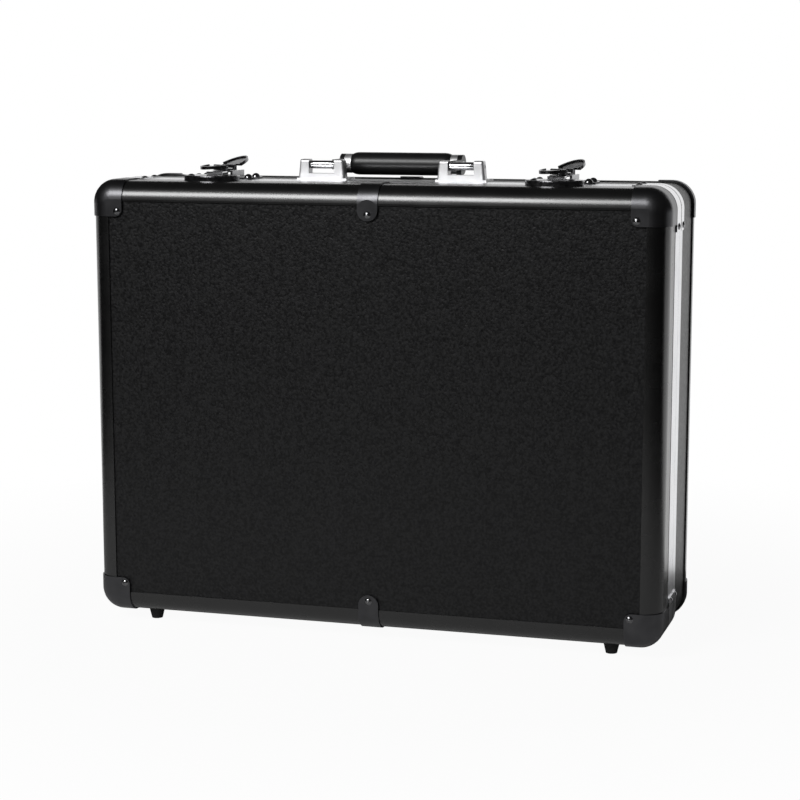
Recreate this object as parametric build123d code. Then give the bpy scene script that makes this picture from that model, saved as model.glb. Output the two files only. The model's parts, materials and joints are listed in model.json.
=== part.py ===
"""A mixer case that stands upright: a shallow lid in front, a deeper base behind it, both of laminated
board held in rounded black edging, with a bright lip along the parting line.

Millimetres. X runs across the case, Y from the lid's face to the rear, Z up.
The origin is on the floor, under the middle of the case.
"""
import os
from math import cos, radians, sin, sqrt

from build123d import *

# Size of the case over its edging
case_width = 480.0
case_height = 362.0
lid_depth = 53.6
base_depth = 87.0
parting_gap = 0.4
foot_height = 10.0

# Board and edging
board = 4.0
edge_radius = 15.0
edge_lip = 1.6
lid_edge_side = 31.0
base_edge_side = 20.0
edge_wall = 1.2
corner_radius = 18.0
seam_gap = 0.3
skin_gap = 0.1
press_wall = 1.0

# Pressed corners and edging clips
corner_leg = 29.0
corner_inner_radius = 6.0
corner_side_extra = 1.4
corner_rivet_inset = 24.5
clip_width = 17.0
clip_leg = 20.3
clip_rivet_inset = 23.7

# Bright lip of the lid and of the base
lid_lip_depth = 20.0
base_lip_depth = 14.0
lip_wall = 1.2
lip_inner_extra = 4.0
lip_web_inset = 6.4
tongue_wall = 1.6
tongue_inset = 2.4
tongue_reach = 2.0
cap_leg = 35.0
cap_margin = 0.8
cap_rivet_inset = 31.0
cap_rivet_setback = 10.0

# Rivets
rivet_radius = 1.6
rivet_head_radius = 3.0
rivet_head_height = 1.3
rivet_tail_radius = 2.2
rivet_tail_height = 0.6
rivet_clearance = 0.05
cut_margin = 1.0

# Foam round the mixer's bay
side_foam = 28.0
end_foam = 39.0
foam_pad = 10.0
foam_gap = 0.3

# Feet
foot_top_radius = 7.0
foot_tip_radius = 4.6
foot_inset_x = 43.0
lid_foot_setback = 24.0
base_foot_setback = 32.0
foot_recess_radius = 3.2
foot_recess_depth = 4.0
foot_screw_radius = 1.8
foot_screw_head_radius = 2.9
foot_screw_head_height = 1.8
foot_screw_grip = 3.0

# Hinges
hinge_inset = 90.0
hinge_width = 50.0
hinge_leaf_length = 18.0
hinge_leaf_wall = 1.2
hinge_knuckle_radius = 2.5
hinge_pin_radius = 1.2
hinge_pin_head_radius = 2.0
hinge_running_clearance = 0.05
hinge_knuckle_gap = 0.3
hinge_axis_drop = 2.8
hinge_knuckles = 5
hinge_rivet_spacing = 34.0
hinge_rivet_setback = 11.5

# Latches
latch_inset = 96.0
strike_width = 47.0
strike_length = 36.0
strike_height = 4.4
strike_round = 1.0
strike_setback = 21.6
strike_slot_side_gap = 1.0
strike_slot_length = 9.0
strike_slot_setback = 13.0
strike_rivet_spacing = 30.0
strike_rivet_forward = 8.0
latch_plate_width = 55.0
latch_plate_length = 28.0
latch_plate_wall = 1.5
latch_plate_corner = 6.0
latch_rivet_spacing = 44.0
latch_rivet_front = 3.8
latch_rivet_rear = 22.0
latch_rivet_head_radius = 3.5
latch_rivet_head_height = 3.0
rail_width = 2.0
rotor_setback = 7.2
rotor_stem_radius = 2.5
rotor_running_clearance = 0.05
rotor_disc_radius = 8.6
rotor_disc_wall = 1.4
hook_width = 14.0
hook_wall = 1.0
hook_lip_wall = 1.4
hook_lip_reach = 1.2
hook_slot_gap = 0.7
rotor_turn = 90.0
hook_travel_back = 6.0
hook_travel_down = 1.2
hook_clearance = 0.3
hook_tail = 16.0
drive_pin_radius = 1.0
drive_pin_play = 0.3
wing_reach = 24.0
wing_half_width = 12.0
wing_neck_half_width = 5.8
wing_wall = 1.6
wing_rim_wall = 1.4
wing_rim_height = 1.0
wing_axis_offset = 4.5
wing_knuckle_radius = 1.5
wing_pin_radius = 0.8
wing_lug_wall = 2.0
wing_gap = 0.3
wing_turn = 60.0
low_wing_angle = -4.0
high_wing_angle = 20.0

# Handle
bracket_spacing = 119.0
bracket_width = 40.4
bracket_taper = 1.6
bracket_setback = 8.4
bracket_depth = 10.0
bracket_sill_height = 5.4
bracket_height = 17.0
bracket_side_round = 1.5
bracket_top_round = 2.0
bracket_window = 22.0
bracket_flange_wall = 1.6
bracket_flange_depth = 24.0
bracket_flange_side = 1.2
bracket_rivet_spacing = 26.0
bracket_rivet_setback = 18.0
handle_axis_height = 12.6
handle_pin_radius = 1.6
handle_running_clearance = 0.05
barrel_radius = 3.0
barrel_gap = 0.3
arm_wall = 4.0
arm_width = 8.0
grip_setback = 30.0
grip_length = 86.0
grip_radius = 9.4
grip_end_radius = 7.6
grip_end_length = 7.0
ferrule_radius = 8.0
handle_core_radius = 3.0
heel_gap = 0.3

# Places worked out from the sizes above
case_depth = lid_depth + parting_gap + base_depth
lid_face_y = -case_depth / 2
base_face_y = case_depth / 2
lid_edge_y = lid_face_y + lid_depth
base_edge_y = lid_edge_y + parting_gap
parting_y = (lid_edge_y + base_edge_y) / 2
case_bottom = foot_height
case_top = foot_height + case_height
middle_z = (case_bottom + case_top) / 2
edge_reach = edge_radius + edge_lip
board_start = edge_radius
inner_face = edge_wall + board
lining_face = inner_face + lip_wall
bay_width = case_width - 2 * (lining_face + foam_gap + side_foam) - foam_gap
bay_height = case_height - 2 * (lining_face + foam_gap + end_foam) - foam_gap
latch_x = case_width / 2 - latch_inset
bracket_x = bracket_spacing / 2
hinge_x = case_width / 2 - hinge_inset
hinge_axis_z = case_bottom - hinge_axis_drop

across = Plane.YZ
level = Plane(origin=(0, 0, middle_z), x_dir=(1, 0, 0), z_dir=(0, 0, 1))


def block(x_from, x_to, y_from, y_to, z_from, z_to):
    """A block between two opposite corners."""
    middle = Pos((x_from + x_to) / 2, (y_from + y_to) / 2, (z_from + z_to) / 2)
    return middle * Box(abs(x_to - x_from), abs(y_to - y_from), abs(z_to - z_from))


def rod(start, direction, radius, length):
    """A round rod from a start point along a direction."""
    plane = Plane(origin=start, z_dir=direction)
    return plane * Cylinder(radius, length, align=(Align.CENTER, Align.CENTER, Align.MIN))


def in_shell(shell, inward, depth_in, x=0.0):
    """A point under the top of the case, by its way in from the top and from the shell's own face."""
    y = lid_face_y + depth_in if shell == "lid" else base_face_y - depth_in
    return Vector(x, y, case_top - inward)


def outline(shell, corners, x=0.0):
    """A face upright across X, from its corners given as (way in from the top, way in from the face)."""
    points = [in_shell(shell, inward, depth_in, x) for inward, depth_in in corners]
    return Face(Wire.make_polygon(points, close=True))


def round_skin(shell, offset, wall, top_end, face_end, x=0.0):
    """The section of a skin that turns round the case's long edge, offset outwards by a distance."""
    outer = edge_radius + offset
    inner = outer - wall
    middle = edge_radius
    diagonal = sqrt(0.5)

    def at(inward, depth_in):
        return in_shell(shell, inward, depth_in, x)

    outside = [
        Edge.make_line(at(face_end, middle - outer), at(middle, middle - outer)),
        Edge.make_three_point_arc(
            at(middle, middle - outer),
            at(middle - outer * diagonal, middle - outer * diagonal),
            at(middle - outer, middle),
        ),
        Edge.make_line(at(middle - outer, middle), at(middle - outer, top_end)),
    ]
    inside = [
        Edge.make_line(at(middle - outer, top_end), at(middle - inner, top_end)),
        Edge.make_line(at(middle - inner, top_end), at(middle - inner, middle)),
        Edge.make_three_point_arc(
            at(middle - inner, middle),
            at(middle - inner * diagonal, middle - inner * diagonal),
            at(middle, middle - inner),
        ),
        Edge.make_line(at(middle, middle - inner), at(face_end, middle - inner)),
        Edge.make_line(at(face_end, middle - inner), at(face_end, middle - outer)),
    ]
    return Face(Wire(outside + inside))


def edge_path(shell, x_start, z_end):
    """The line that a skin follows: along the top to the left, round the corner and down."""
    y = lid_face_y if shell == "lid" else base_face_y
    left = -case_width / 2
    points = [(x_start, y, case_top), (left, y, case_top), (left, y, z_end)]
    if z_end == case_bottom:
        points.append((x_start, y, case_bottom))
    return FilletPolyline(*points, radius=corner_radius)


def edging_half(shell):
    """The left half of a shell's edging: a rounded skin and the angle behind the boards."""
    start = -seam_gap / 2
    far = inner_face + edge_wall
    section = round_skin(shell, 0.0, edge_wall, edge_side(shell), edge_reach, start)
    angle = [(edge_reach, inner_face), (inner_face, inner_face), (inner_face, edge_reach)]
    angle += [(far, edge_reach), (far, far), (edge_reach, far)]
    root = edge_radius - (edge_radius - edge_wall / 2) * sqrt(0.5)
    knot = [(root, root), (root, far), (far, far), (far, root)]
    section = section + outline(shell, angle, start) + outline(shell, knot, start)
    half = sweep(section, path=edge_path(shell, start, case_bottom))
    if shell == "lid":
        through = 4 * board
        half = drilled(half, strike_rivet_points(-1), (0, 0, 1), rivet_radius + rivet_clearance, through)
        half = drilled(half, foot_points(shell)[:1], (0, 0, 1), foot_screw_radius + rivet_clearance, through)
    return half


def turned_down(shape):
    """The same piece at the bottom of the case."""
    return mirror(shape, about=level)


def turned_right(shape):
    """The same piece on the right of the case."""
    return mirror(shape, about=across)


def four_corners(shape):
    """A top left piece and its three mirror images."""
    low = turned_down(shape)
    return [shape, turned_right(shape), low, turned_right(low)]


def rivet(point, direction, grip, head_radius=rivet_head_radius, head_height=rivet_head_height):
    """A domed rivet: head on the outside at the point, shank through the grip, set tail behind it."""
    dome_radius = (head_radius**2 + head_height**2) / (2 * head_height)
    outside = Pos(0, 0, dome_radius) * Box(4 * dome_radius, 4 * dome_radius, 2 * dome_radius)
    head = Pos(0, 0, head_height - dome_radius) * Sphere(dome_radius) & outside
    shank = Pos(0, 0, -grip / 2) * Cylinder(rivet_radius, grip)
    tail = Pos(0, 0, -grip - rivet_tail_height / 2) * Cylinder(rivet_tail_radius, rivet_tail_height)
    return Plane(origin=point, z_dir=direction) * (head + shank + tail)


def drilled(shape, points, direction, radius, length=2 * corner_leg):
    """A piece with round holes through it at the points."""
    for point in points:
        start = Vector(*point) - Vector(*direction) * (length / 2)
        shape = shape - rod(start, direction, radius, length)
    return shape


def rounded_plate(width, length, wall, radius):
    """A flat plate on the XY plane with rounded corners, its underside at zero."""
    return extrude(RectangleRounded(width, length, radius), amount=wall)


def ring(shell, outer_inset, inner_inset, depth_from, depth_to):
    """A wall all round the case, between two insets from the outline and two depths from the face."""
    y_from = in_shell(shell, 0, depth_from).Y
    y_to = in_shell(shell, 0, depth_to).Y
    plane = Plane(origin=(0, min(y_from, y_to), middle_z), x_dir=(1, 0, 0), z_dir=(0, 1, 0))
    width = case_width - 2 * outer_inset
    height = case_height - 2 * outer_inset
    face = RectangleRounded(width, height, corner_radius - outer_inset)
    face -= RectangleRounded(
        case_width - 2 * inner_inset, case_height - 2 * inner_inset, corner_radius - inner_inset
    )
    return extrude(plane * face, amount=abs(y_to - y_from))


def edge_side(shell):
    """How far a shell's edging reaches from its face over the side."""
    return lid_edge_side if shell == "lid" else base_edge_side


def corner_side_leg(shell):
    """How far the corners and clips reach from a shell's face over the side."""
    return edge_side(shell) + corner_side_extra


def shell_depth(shell):
    """How deep a shell is, from its face to the parting line."""
    return lid_depth if shell == "lid" else base_depth


def lip_depth(shell):
    """How much of a shell's depth its bright lip covers."""
    return lid_lip_depth if shell == "lid" else base_lip_depth


def web_depth(shell):
    """How deep in the shell the web of its lip lies, where the side wall ends."""
    return shell_depth(shell) - lip_web_inset - lip_wall


def corner_rivet_points(shell):
    """The rivets through the front plates of the four corners."""
    x = case_width / 2 - corner_rivet_inset
    z = case_height / 2 - corner_rivet_inset
    y = in_shell(shell, 0, -skin_gap - press_wall).Y
    return [(sx * x, y, middle_z + sz * z) for sx in (-1, 1) for sz in (-1, 1)]


def clip_rivet_points(shell):
    """The rivets through the tongues of the two clips."""
    z = case_height / 2 - clip_rivet_inset
    y = in_shell(shell, 0, -skin_gap - press_wall).Y
    return [(0, y, middle_z + sz * z) for sz in (-1, 1)]


def cap_rivet_points(shell):
    """The rivets of the bent caps, in pairs of a point and its outward direction."""
    y = in_shell(shell, 0, shell_depth(shell) - cap_rivet_setback).Y
    proud = skin_gap + press_wall
    x_near = case_width / 2 - cap_rivet_inset
    z_near = case_height / 2 - cap_rivet_inset
    pairs = []
    for sx in (-1, 1):
        for sz in (-1, 1):
            pairs.append(((sx * x_near, y, middle_z + sz * (case_height / 2 + proud)), (0, 0, sz)))
            pairs.append(((sx * (case_width / 2 + proud), y, middle_z + sz * z_near), (sx, 0, 0)))
    return pairs


def face_direction(shell):
    """The outward direction of a shell's face."""
    return (0, -1, 0) if shell == "lid" else (0, 1, 0)


def foot_points(shell):
    """The middles of a shell's two feet: the lid's stand under its edging, the base's under its wall."""
    setback = lid_foot_setback if shell == "lid" else base_foot_setback
    y = in_shell(shell, 0, setback).Y
    x = case_width / 2 - foot_inset_x
    z = case_bottom if shell == "lid" else case_bottom + edge_wall
    return [(side * x, y, z) for side in (-1, 1)]


def strike_rivet_points(side):
    """The two rivets of a strike, on its upper face."""
    y = lid_edge_y - strike_setback - strike_rivet_forward
    z = case_top + strike_height
    return [(side * latch_x + sx * strike_rivet_spacing / 2, y, z) for sx in (-1, 1)]


def latch_rivet_points(side):
    """The four rivets of a latch plate, on its upper face."""
    z = case_top + latch_plate_wall
    return [
        (side * latch_x + sx * latch_rivet_spacing / 2, base_edge_y + back, z)
        for sx in (-1, 1)
        for back in (latch_rivet_front, latch_rivet_rear)
    ]


def bracket_rivet_points(side):
    """The two rivets of a handle bracket, on its flange."""
    y = base_edge_y + bracket_setback + bracket_rivet_setback
    z = case_top + bracket_flange_wall
    return [(side * bracket_x + sx * bracket_rivet_spacing / 2, y, z) for sx in (-1, 1)]


def hinge_rivet_points(shell):
    """The rivets through the leaves of one shell's hinges, on their undersides."""
    away = -1 if shell == "lid" else 1
    y = parting_y + away * hinge_rivet_setback
    z = case_bottom - skin_gap - hinge_leaf_wall
    return [
        (side * hinge_x + sx * hinge_rivet_spacing / 2, y, z) for side in (-1, 1) for sx in (-1, 1)
    ]


def panel(shell):
    """The flat board in a shell's face."""
    inset = board_start
    y = in_shell(shell, 0, edge_wall).Y
    inner_y = in_shell(shell, 0, inner_face).Y
    plane = Plane(origin=(0, min(y, inner_y), middle_z), x_dir=(1, 0, 0), z_dir=(0, 1, 0))
    face = RectangleRounded(
        case_width - 2 * inset, case_height - 2 * inset, corner_radius - inset
    )
    board_solid = extrude(plane * face, amount=board)
    points = corner_rivet_points(shell) + clip_rivet_points(shell)
    return drilled(board_solid, points, (0, 1, 0), rivet_radius + rivet_clearance)


def side_wall(shell):
    """The board that runs round a shell between its edging and its lip."""
    wall = ring(shell, edge_wall, inner_face, board_start, web_depth(shell))
    hole = rivet_radius + rivet_clearance
    for point in foot_points(shell):
        wall = drilled(wall, [point], (0, 0, 1), foot_screw_radius + rivet_clearance, 2 * board)
    fixed = []
    for side in (-1, 1):
        if shell == "lid":
            fixed += strike_rivet_points(side)
        else:
            fixed += [p for p in latch_rivet_points(side) if p[1] > base_edge_y + base_lip_depth]
            fixed += bracket_rivet_points(side)
    wall = drilled(wall, fixed, (0, 0, 1), hole)
    tail_room = rivet_tail_radius + rivet_clearance
    wall = drilled(wall, hinge_rivet_points(shell), (0, 0, 1), tail_room, 4 * board)
    for point, direction in cap_rivet_points(shell):
        wall = drilled(wall, [point], direction, tail_room, 4 * board)
    return wall


def lip_lengths(shell):
    """The four straight lengths of a shell's bright lip, which grip the side wall."""
    depth = shell_depth(shell)
    outer_from = depth - lip_depth(shell)
    inner_from = outer_from - lip_inner_extra
    web = web_depth(shell)
    sections = [
        [(0, outer_from), (0, depth), (lip_wall, depth), (lip_wall, outer_from)],
        [(inner_face, inner_from), (inner_face, depth), (lining_face, depth), (lining_face, inner_from)],
        [(0, web), (0, web + lip_wall), (lining_face, web + lip_wall), (lining_face, web)],
    ]
    if shell == "base":
        near = tongue_inset
        far = tongue_inset + tongue_wall
        tip = depth + parting_gap + tongue_reach
        sections.append([(near, web), (near, tip), (far, tip), (far, web)])
    lengths = []
    for run, turned in ((case_width, False), (case_height, True)):
        reach = run - 2 * corner_radius
        faces = [outline(shell, corners, -reach / 2) for corners in sections]
        section = faces[0]
        for face in faces[1:]:
            section = section + face
        length = extrude(section, amount=reach, dir=(1, 0, 0))
        if turned:
            drop = Pos(0, 0, (case_width - case_height) / 2)
            length = drop * length
            upright = Rotation(0, -90, 0)
            length = Pos(0, 0, middle_z) * upright * Pos(0, 0, -middle_z) * length
            lengths += [length, turned_right(length)]
        else:
            lengths += [length, turned_down(length)]
    return lengths


def lip(shell):
    """A shell's bright lip, drilled for the rivets of what it carries."""
    hole = rivet_radius + rivet_clearance
    through = 4 * board
    pieces = []
    for length in lip_lengths(shell):
        for point, direction in cap_rivet_points(shell):
            grip = press_wall + lip_wall + skin_gap + cut_margin
            length = drilled(length, [point], direction, hole, 2 * grip)
        length = drilled(length, hinge_rivet_points(shell), (0, 0, 1), hole, through)
        if shell == "base":
            near = [p for side in (-1, 1) for p in latch_rivet_points(side)]
            near = [p for p in near if p[1] < base_edge_y + base_lip_depth]
            length = drilled(length, near, (0, 0, 1), hole, through)
        pieces.append(length)
    return pieces


def lip_caps(shell):
    """The bent caps over the four corners of a shell's lip."""
    start = -case_width / 2 + cap_leg
    near = shell_depth(shell) - lip_depth(shell) + cap_margin
    far = shell_depth(shell) - cap_margin
    top = -skin_gap - press_wall
    section = outline(shell, [(top, near), (top, far), (-skin_gap, far), (-skin_gap, near)], start)
    cap = sweep(section, path=edge_path(shell, start, case_top - cap_leg))
    hole = rivet_radius + rivet_clearance
    pieces = []
    for piece in four_corners(cap):
        for point, direction in cap_rivet_points(shell):
            piece = drilled(piece, [point], direction, hole, 2 * (press_wall + cut_margin))
        pieces.append(piece)
    return pieces


def corner_piece(shell):
    """The pressed top left corner of a shell: a rounded skin with a square plate on the face."""
    start = -case_width / 2 + corner_leg
    offset = skin_gap + press_wall
    section = round_skin(shell, offset, press_wall, corner_side_leg(shell), edge_reach, start)
    skin = sweep(section, path=edge_path(shell, start, case_top - corner_leg))
    y_out = in_shell(shell, 0, -offset).Y
    y_in = in_shell(shell, 0, -skin_gap).Y
    left = -case_width / 2
    plate = block(
        left + edge_radius, left + corner_leg, y_out, y_in, case_top - corner_leg, case_top - edge_radius
    )
    inner = plate.edges().filter_by(Axis.Y).sort_by(lambda edge: edge.center().X - edge.center().Z)[-1]
    plate = fillet(inner, corner_inner_radius)
    piece = skin + plate
    return drilled(piece, corner_rivet_points(shell), (0, 1, 0), rivet_radius + rivet_clearance)


def edging_clip(shell):
    """The clip over the top joint of a shell's edging, with a rounded tongue on the face."""
    offset = skin_gap + press_wall
    section = round_skin(shell, offset, press_wall, corner_side_leg(shell), clip_leg, -clip_width / 2)
    clip = extrude(section, amount=clip_width, dir=(1, 0, 0))
    y_out = in_shell(shell, 0, -offset).Y
    y_in = in_shell(shell, 0, -skin_gap).Y
    tongue = rod((0, y_out, case_top - clip_leg), (0, y_in - y_out, 0), clip_width / 2, press_wall)
    return drilled(clip + tongue, clip_rivet_points(shell), (0, 1, 0), rivet_radius + rivet_clearance)


def face_rivets(shell):
    """The rivets of a shell's corners, clips and caps."""
    grip = press_wall + skin_gap + inner_face
    pieces = []
    for point in corner_rivet_points(shell) + clip_rivet_points(shell):
        pieces.append(rivet(point, face_direction(shell), grip))
    for point, direction in cap_rivet_points(shell):
        pieces.append(rivet(point, direction, press_wall + skin_gap + lip_wall))
    return pieces


def foam_pad_piece(shell):
    """The flat pad of foam on the inside of a shell's panel."""
    near = in_shell(shell, 0, inner_face + foam_gap).Y
    far = in_shell(shell, 0, inner_face + foam_gap + foam_pad).Y
    half_width = bay_width / 2
    half_height = bay_height / 2
    return block(-half_width, half_width, near, far, middle_z - half_height, middle_z + half_height)


def foam_blocks(shell):
    """The four blocks of foam between the mixer's bay and a shell's walls."""
    inset = lining_face + foam_gap
    ends = (in_shell(shell, 0, inset).Y, in_shell(shell, 0, shell_depth(shell) - foam_gap).Y)
    y_from = min(ends)
    y_to = max(ends)
    plane = Plane(origin=(0, y_from, middle_z), x_dir=(1, 0, 0), z_dir=(0, 1, 0))
    outer = RectangleRounded(
        case_width - 2 * inset, case_height - 2 * inset, corner_radius - inset
    )
    whole = extrude(plane * (outer - Rectangle(bay_width + foam_gap, bay_height + foam_gap)), y_to - y_from)
    half_width = (bay_width + foam_gap) / 2
    half_height = (bay_height + foam_gap) / 2
    top = whole & block(-case_width, case_width, y_from, y_to, middle_z + half_height, case_top)
    left = whole & block(
        -case_width, -half_width, y_from, y_to, middle_z - half_height, middle_z + half_height
    )
    return [top, turned_down(top), left, turned_right(left)]


def feet(shell):
    """A shell's two rubber feet, each a cone with a recess for its screw."""
    pieces = []
    for x, y, z in foot_points(shell):
        cone = Cone(
            foot_tip_radius, foot_top_radius, z, align=(Align.CENTER, Align.CENTER, Align.MIN)
        )
        recess = Cylinder(
            foot_recess_radius, foot_recess_depth, align=(Align.CENTER, Align.CENTER, Align.MIN)
        )
        bore = Cylinder(foot_screw_radius + rivet_clearance, 3 * z)
        pieces.append(Pos(x, y, 0) * (cone - recess - bore))
    return pieces


def foot_screws(shell):
    """The screws that hold a shell's feet."""
    pieces = []
    for x, y, z in foot_points(shell):
        head_from = foot_recess_depth - foot_screw_head_height
        head = rod((x, y, head_from), (0, 0, 1), foot_screw_head_radius, foot_screw_head_height)
        length = z + foot_screw_grip - foot_recess_depth
        pieces.append(head + rod((x, y, foot_recess_depth), (0, 0, 1), foot_screw_radius, length))
    return pieces


def hinge_leaves(shell):
    """The leaves of a shell's two hinges, each with its share of the knuckles."""
    away = -1 if shell == "lid" else 1
    step = hinge_width / hinge_knuckles
    top = case_bottom - skin_gap
    pieces = []
    for side in (-1, 1):
        start = side * hinge_x - hinge_width / 2
        near = parting_y + away * hinge_pin_radius
        far = parting_y + away * (hinge_leaf_length + hinge_pin_radius)
        leaf = block(start, start + hinge_width, near, far, top - hinge_leaf_wall, top)
        own = range(1, hinge_knuckles, 2) if shell == "lid" else range(0, hinge_knuckles, 2)
        for index in range(hinge_knuckles):
            x_from = start + index * step
            if index in own:
                margin = hinge_knuckle_gap / 2
                leaf += rod(
                    (x_from + margin, parting_y, hinge_axis_z),
                    (1, 0, 0),
                    hinge_knuckle_radius,
                    step - 2 * margin,
                )
            else:
                margin = hinge_knuckle_gap / 2
                room = hinge_knuckle_radius + hinge_knuckle_gap
                leaf -= rod(
                    (x_from - margin, parting_y, hinge_axis_z), (1, 0, 0), room, step + 2 * margin
                )
        leaf -= rod(
            (start - cut_margin, parting_y, hinge_axis_z),
            (1, 0, 0),
            hinge_pin_radius + hinge_running_clearance,
            hinge_width + 2 * cut_margin,
        )
        points = [p for p in hinge_rivet_points(shell) if p[0] * side > 0]
        pieces.append(drilled(leaf, points, (0, 0, 1), rivet_radius + rivet_clearance, 2 * board))
    return pieces


def hinge_pins():
    """The two hinge pins, with a head at each end."""
    pieces = []
    for side in (-1, 1):
        start = side * hinge_x - hinge_width / 2
        pin = rod((start, parting_y, hinge_axis_z), (1, 0, 0), hinge_pin_radius, hinge_width)
        for x_from in (start - hinge_knuckle_gap, start + hinge_width):
            pin += rod(
                (x_from, parting_y, hinge_axis_z), (1, 0, 0), hinge_pin_head_radius, hinge_knuckle_gap
            )
        pieces.append(pin)
    return pieces


def hinge_rivets(shell):
    """The rivets that hold a shell's hinge leaves to its lip."""
    grip = hinge_leaf_wall + skin_gap + lip_wall
    return [rivet(point, (0, 0, -1), grip) for point in hinge_rivet_points(shell)]


def strike(side):
    """The oval strike on the lid, with a slot that the hook drops into."""
    y = lid_edge_y - strike_setback
    oval = Ellipse(strike_width / 2, strike_length / 2)
    body = extrude(oval, amount=strike_height)
    body = fillet(body.edges().sort_by(Axis.Z)[-1], strike_round)
    body = Pos(side * latch_x, y, case_top) * body
    slot_y = lid_edge_y - strike_slot_setback
    slot = Pos(side * latch_x, slot_y, case_top + strike_height) * Box(
        hook_width + 2 * strike_slot_side_gap, strike_slot_length, 2 * (strike_height + cut_margin)
    )
    hole = rivet_radius + rivet_clearance
    return drilled(body - slot, strike_rivet_points(side), (0, 0, 1), hole)


def strike_rivets():
    """The rivets of both strikes."""
    grip = strike_height + inner_face
    return [rivet(p, (0, 0, 1), grip) for side in (-1, 1) for p in strike_rivet_points(side)]


def rotor_y():
    """Where the latch rotors turn."""
    return base_edge_y + rotor_setback


def hook_rest_z():
    """The underside of the hook's plate while the latch is let go."""
    return case_top + strike_height + hook_clearance + hook_travel_down


def rotor_disc_z():
    """The underside of the rotor's disc."""
    return hook_rest_z() + hook_wall + hook_clearance


def latch_plate(side):
    """The plate on the base that carries a latch: ears for the rivets, and two rails for the hook."""
    y = base_edge_y + latch_plate_length / 2
    x = side * latch_x
    plate = Pos(x, y, case_top) * rounded_plate(
        latch_plate_width, latch_plate_length, latch_plate_wall, latch_plate_corner
    )
    near = hook_width / 2 + hook_clearance
    for sx in (-1, 1):
        plate += block(
            x + sx * near,
            x + sx * (near + rail_width),
            base_edge_y + hook_clearance,
            base_edge_y + latch_plate_length - hook_clearance,
            case_top,
            hook_rest_z() + hook_wall,
        )
    bore = rotor_stem_radius + rotor_running_clearance
    plate = drilled(plate, [(x, rotor_y(), case_top)], (0, 0, 1), bore)
    hole = rivet_radius + rivet_clearance
    return drilled(plate, latch_rivet_points(side), (0, 0, 1), hole)


def latch_rivets():
    """The rivets of both latch plates. The front ones grip the lip, the rear ones the side wall."""
    pieces = []
    for side in (-1, 1):
        for point in latch_rivet_points(side):
            on_lip = point[1] < base_edge_y + base_lip_depth
            grip = latch_plate_wall + (lip_wall if on_lip else inner_face)
            pieces.append(rivet(point, (0, 0, 1), grip, latch_rivet_head_radius, latch_rivet_head_height))
    return pieces


def drive_radius():
    """How far the drive pin stands from the rotor's axis, which turns as far to either side of square."""
    return hook_travel_back / (2 * sin(radians(rotor_turn / 2)))


def drive_point(side):
    """The middle of the drive pin at rest."""
    angle = radians(rotor_turn / 2)
    return (side * latch_x + drive_radius() * cos(angle), rotor_y() - drive_radius() * sin(angle))


def rotor(side):
    """The rotor of a latch: a stem in the plate, a disc, a drive pin and two pairs of lugs."""
    x = side * latch_x
    y = rotor_y()
    disc_z = rotor_disc_z()
    piece = rod((x, y, case_top + skin_gap), (0, 0, 1), rotor_stem_radius, disc_z - case_top)
    piece += rod((x, y, disc_z), (0, 0, 1), rotor_disc_radius, rotor_disc_wall)
    pin_x, pin_y = drive_point(side)
    pin_from = case_top + strike_height + hook_clearance
    piece += rod((pin_x, pin_y, pin_from), (0, 0, 1), drive_pin_radius, disc_z - pin_from + hook_clearance)
    top = wing_axis_z()
    lug_from = wing_neck_half_width + wing_gap
    for sx in (-1, 1):
        for sy in (-1, 1):
            y_from = sy * lug_from
            y_to = sy * (lug_from + wing_lug_wall)
            lug_x = sx * wing_axis_offset
            lug = block(
                lug_x - wing_knuckle_radius, lug_x + wing_knuckle_radius, y_from, y_to, disc_z, top
            )
            lug += rod((lug_x, min(y_from, y_to), top), (0, 1, 0), wing_knuckle_radius, wing_lug_wall)
            lug -= rod((lug_x, -wing_reach, top), (0, 1, 0), wing_pin_radius, 2 * wing_reach)
            piece += turned_with_wings(side, lug)
    return piece


def turned_with_wings(side, shape):
    """A piece made round the upright axis, turned as the wings stand at rest and moved to its latch."""
    return Pos(side * latch_x, rotor_y(), 0) * Rotation(0, 0, wing_turn) * shape


def wing_axis_z():
    """The height of the pins that the wings fold about."""
    return rotor_disc_z() + rotor_disc_wall + wing_knuckle_radius + wing_gap


def wing_pins(side):
    """The two pins that the wings of a latch fold about."""
    length = 2 * (wing_neck_half_width + wing_gap + wing_lug_wall)
    pieces = []
    for sx in (-1, 1):
        start = (sx * wing_axis_offset, -length / 2, wing_axis_z())
        pieces.append(turned_with_wings(side, rod(start, (0, 1, 0), wing_pin_radius, length)))
    return pieces


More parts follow.
